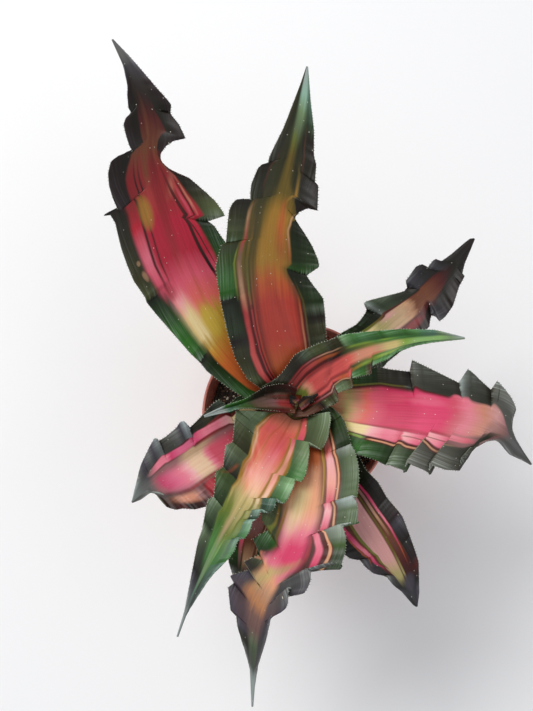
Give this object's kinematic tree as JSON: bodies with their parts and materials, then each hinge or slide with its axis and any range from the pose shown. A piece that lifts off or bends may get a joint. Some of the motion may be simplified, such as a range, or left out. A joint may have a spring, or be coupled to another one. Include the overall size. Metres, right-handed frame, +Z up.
{
  "type": "potted earth star",
  "caption": "Rosette of long waved, striped pink and green leaves on a short stem, growing in a round tapered nursery pot.",
  "frame": {"origin": "centre of the pot's base, on the face it rests on", "axes": "+Z up along the pot's axis, +X to the right and +Y to the back as the picture looks down on the plant from the front"},
  "size_m": [0.1917, 0.2927, 0.1517],
  "materials": {
    "pot_plastic": "satin",
    "potting_mix": "matte",
    "stem_skin": "matte",
    "blade_low_front": "satin",
    "blade_right_front": "satin",
    "blade_right_back": "satin",
    "blade_left": "satin",
    "blade_right": "satin",
    "blade_back_left": "satin",
    "blade_front": "satin",
    "blade_back": "satin",
    "blade_front_left": "satin",
    "blade_young_right": "satin",
    "blade_young_left": "satin",
    "blade_heart": "satin"
  },
  "bodies": {
    "root": {"pot": "pot_plastic", "soil": "potting_mix", "stem": "stem_skin", "leaf_low_front": "blade_low_front", "leaf_right_front": "blade_right_front", "leaf_right_back": "blade_right_back", "leaf_left": "blade_left", "leaf_right": "blade_right", "leaf_back_left": "blade_back_left", "leaf_front": "blade_front", "leaf_back": "blade_back", "leaf_front_left": "blade_front_left", "leaf_young_right": "blade_young_right", "leaf_young_left": "blade_young_left", "heart_leaf_1": "blade_heart", "heart_leaf_2": "blade_heart"}
  },
  "joints": []
}
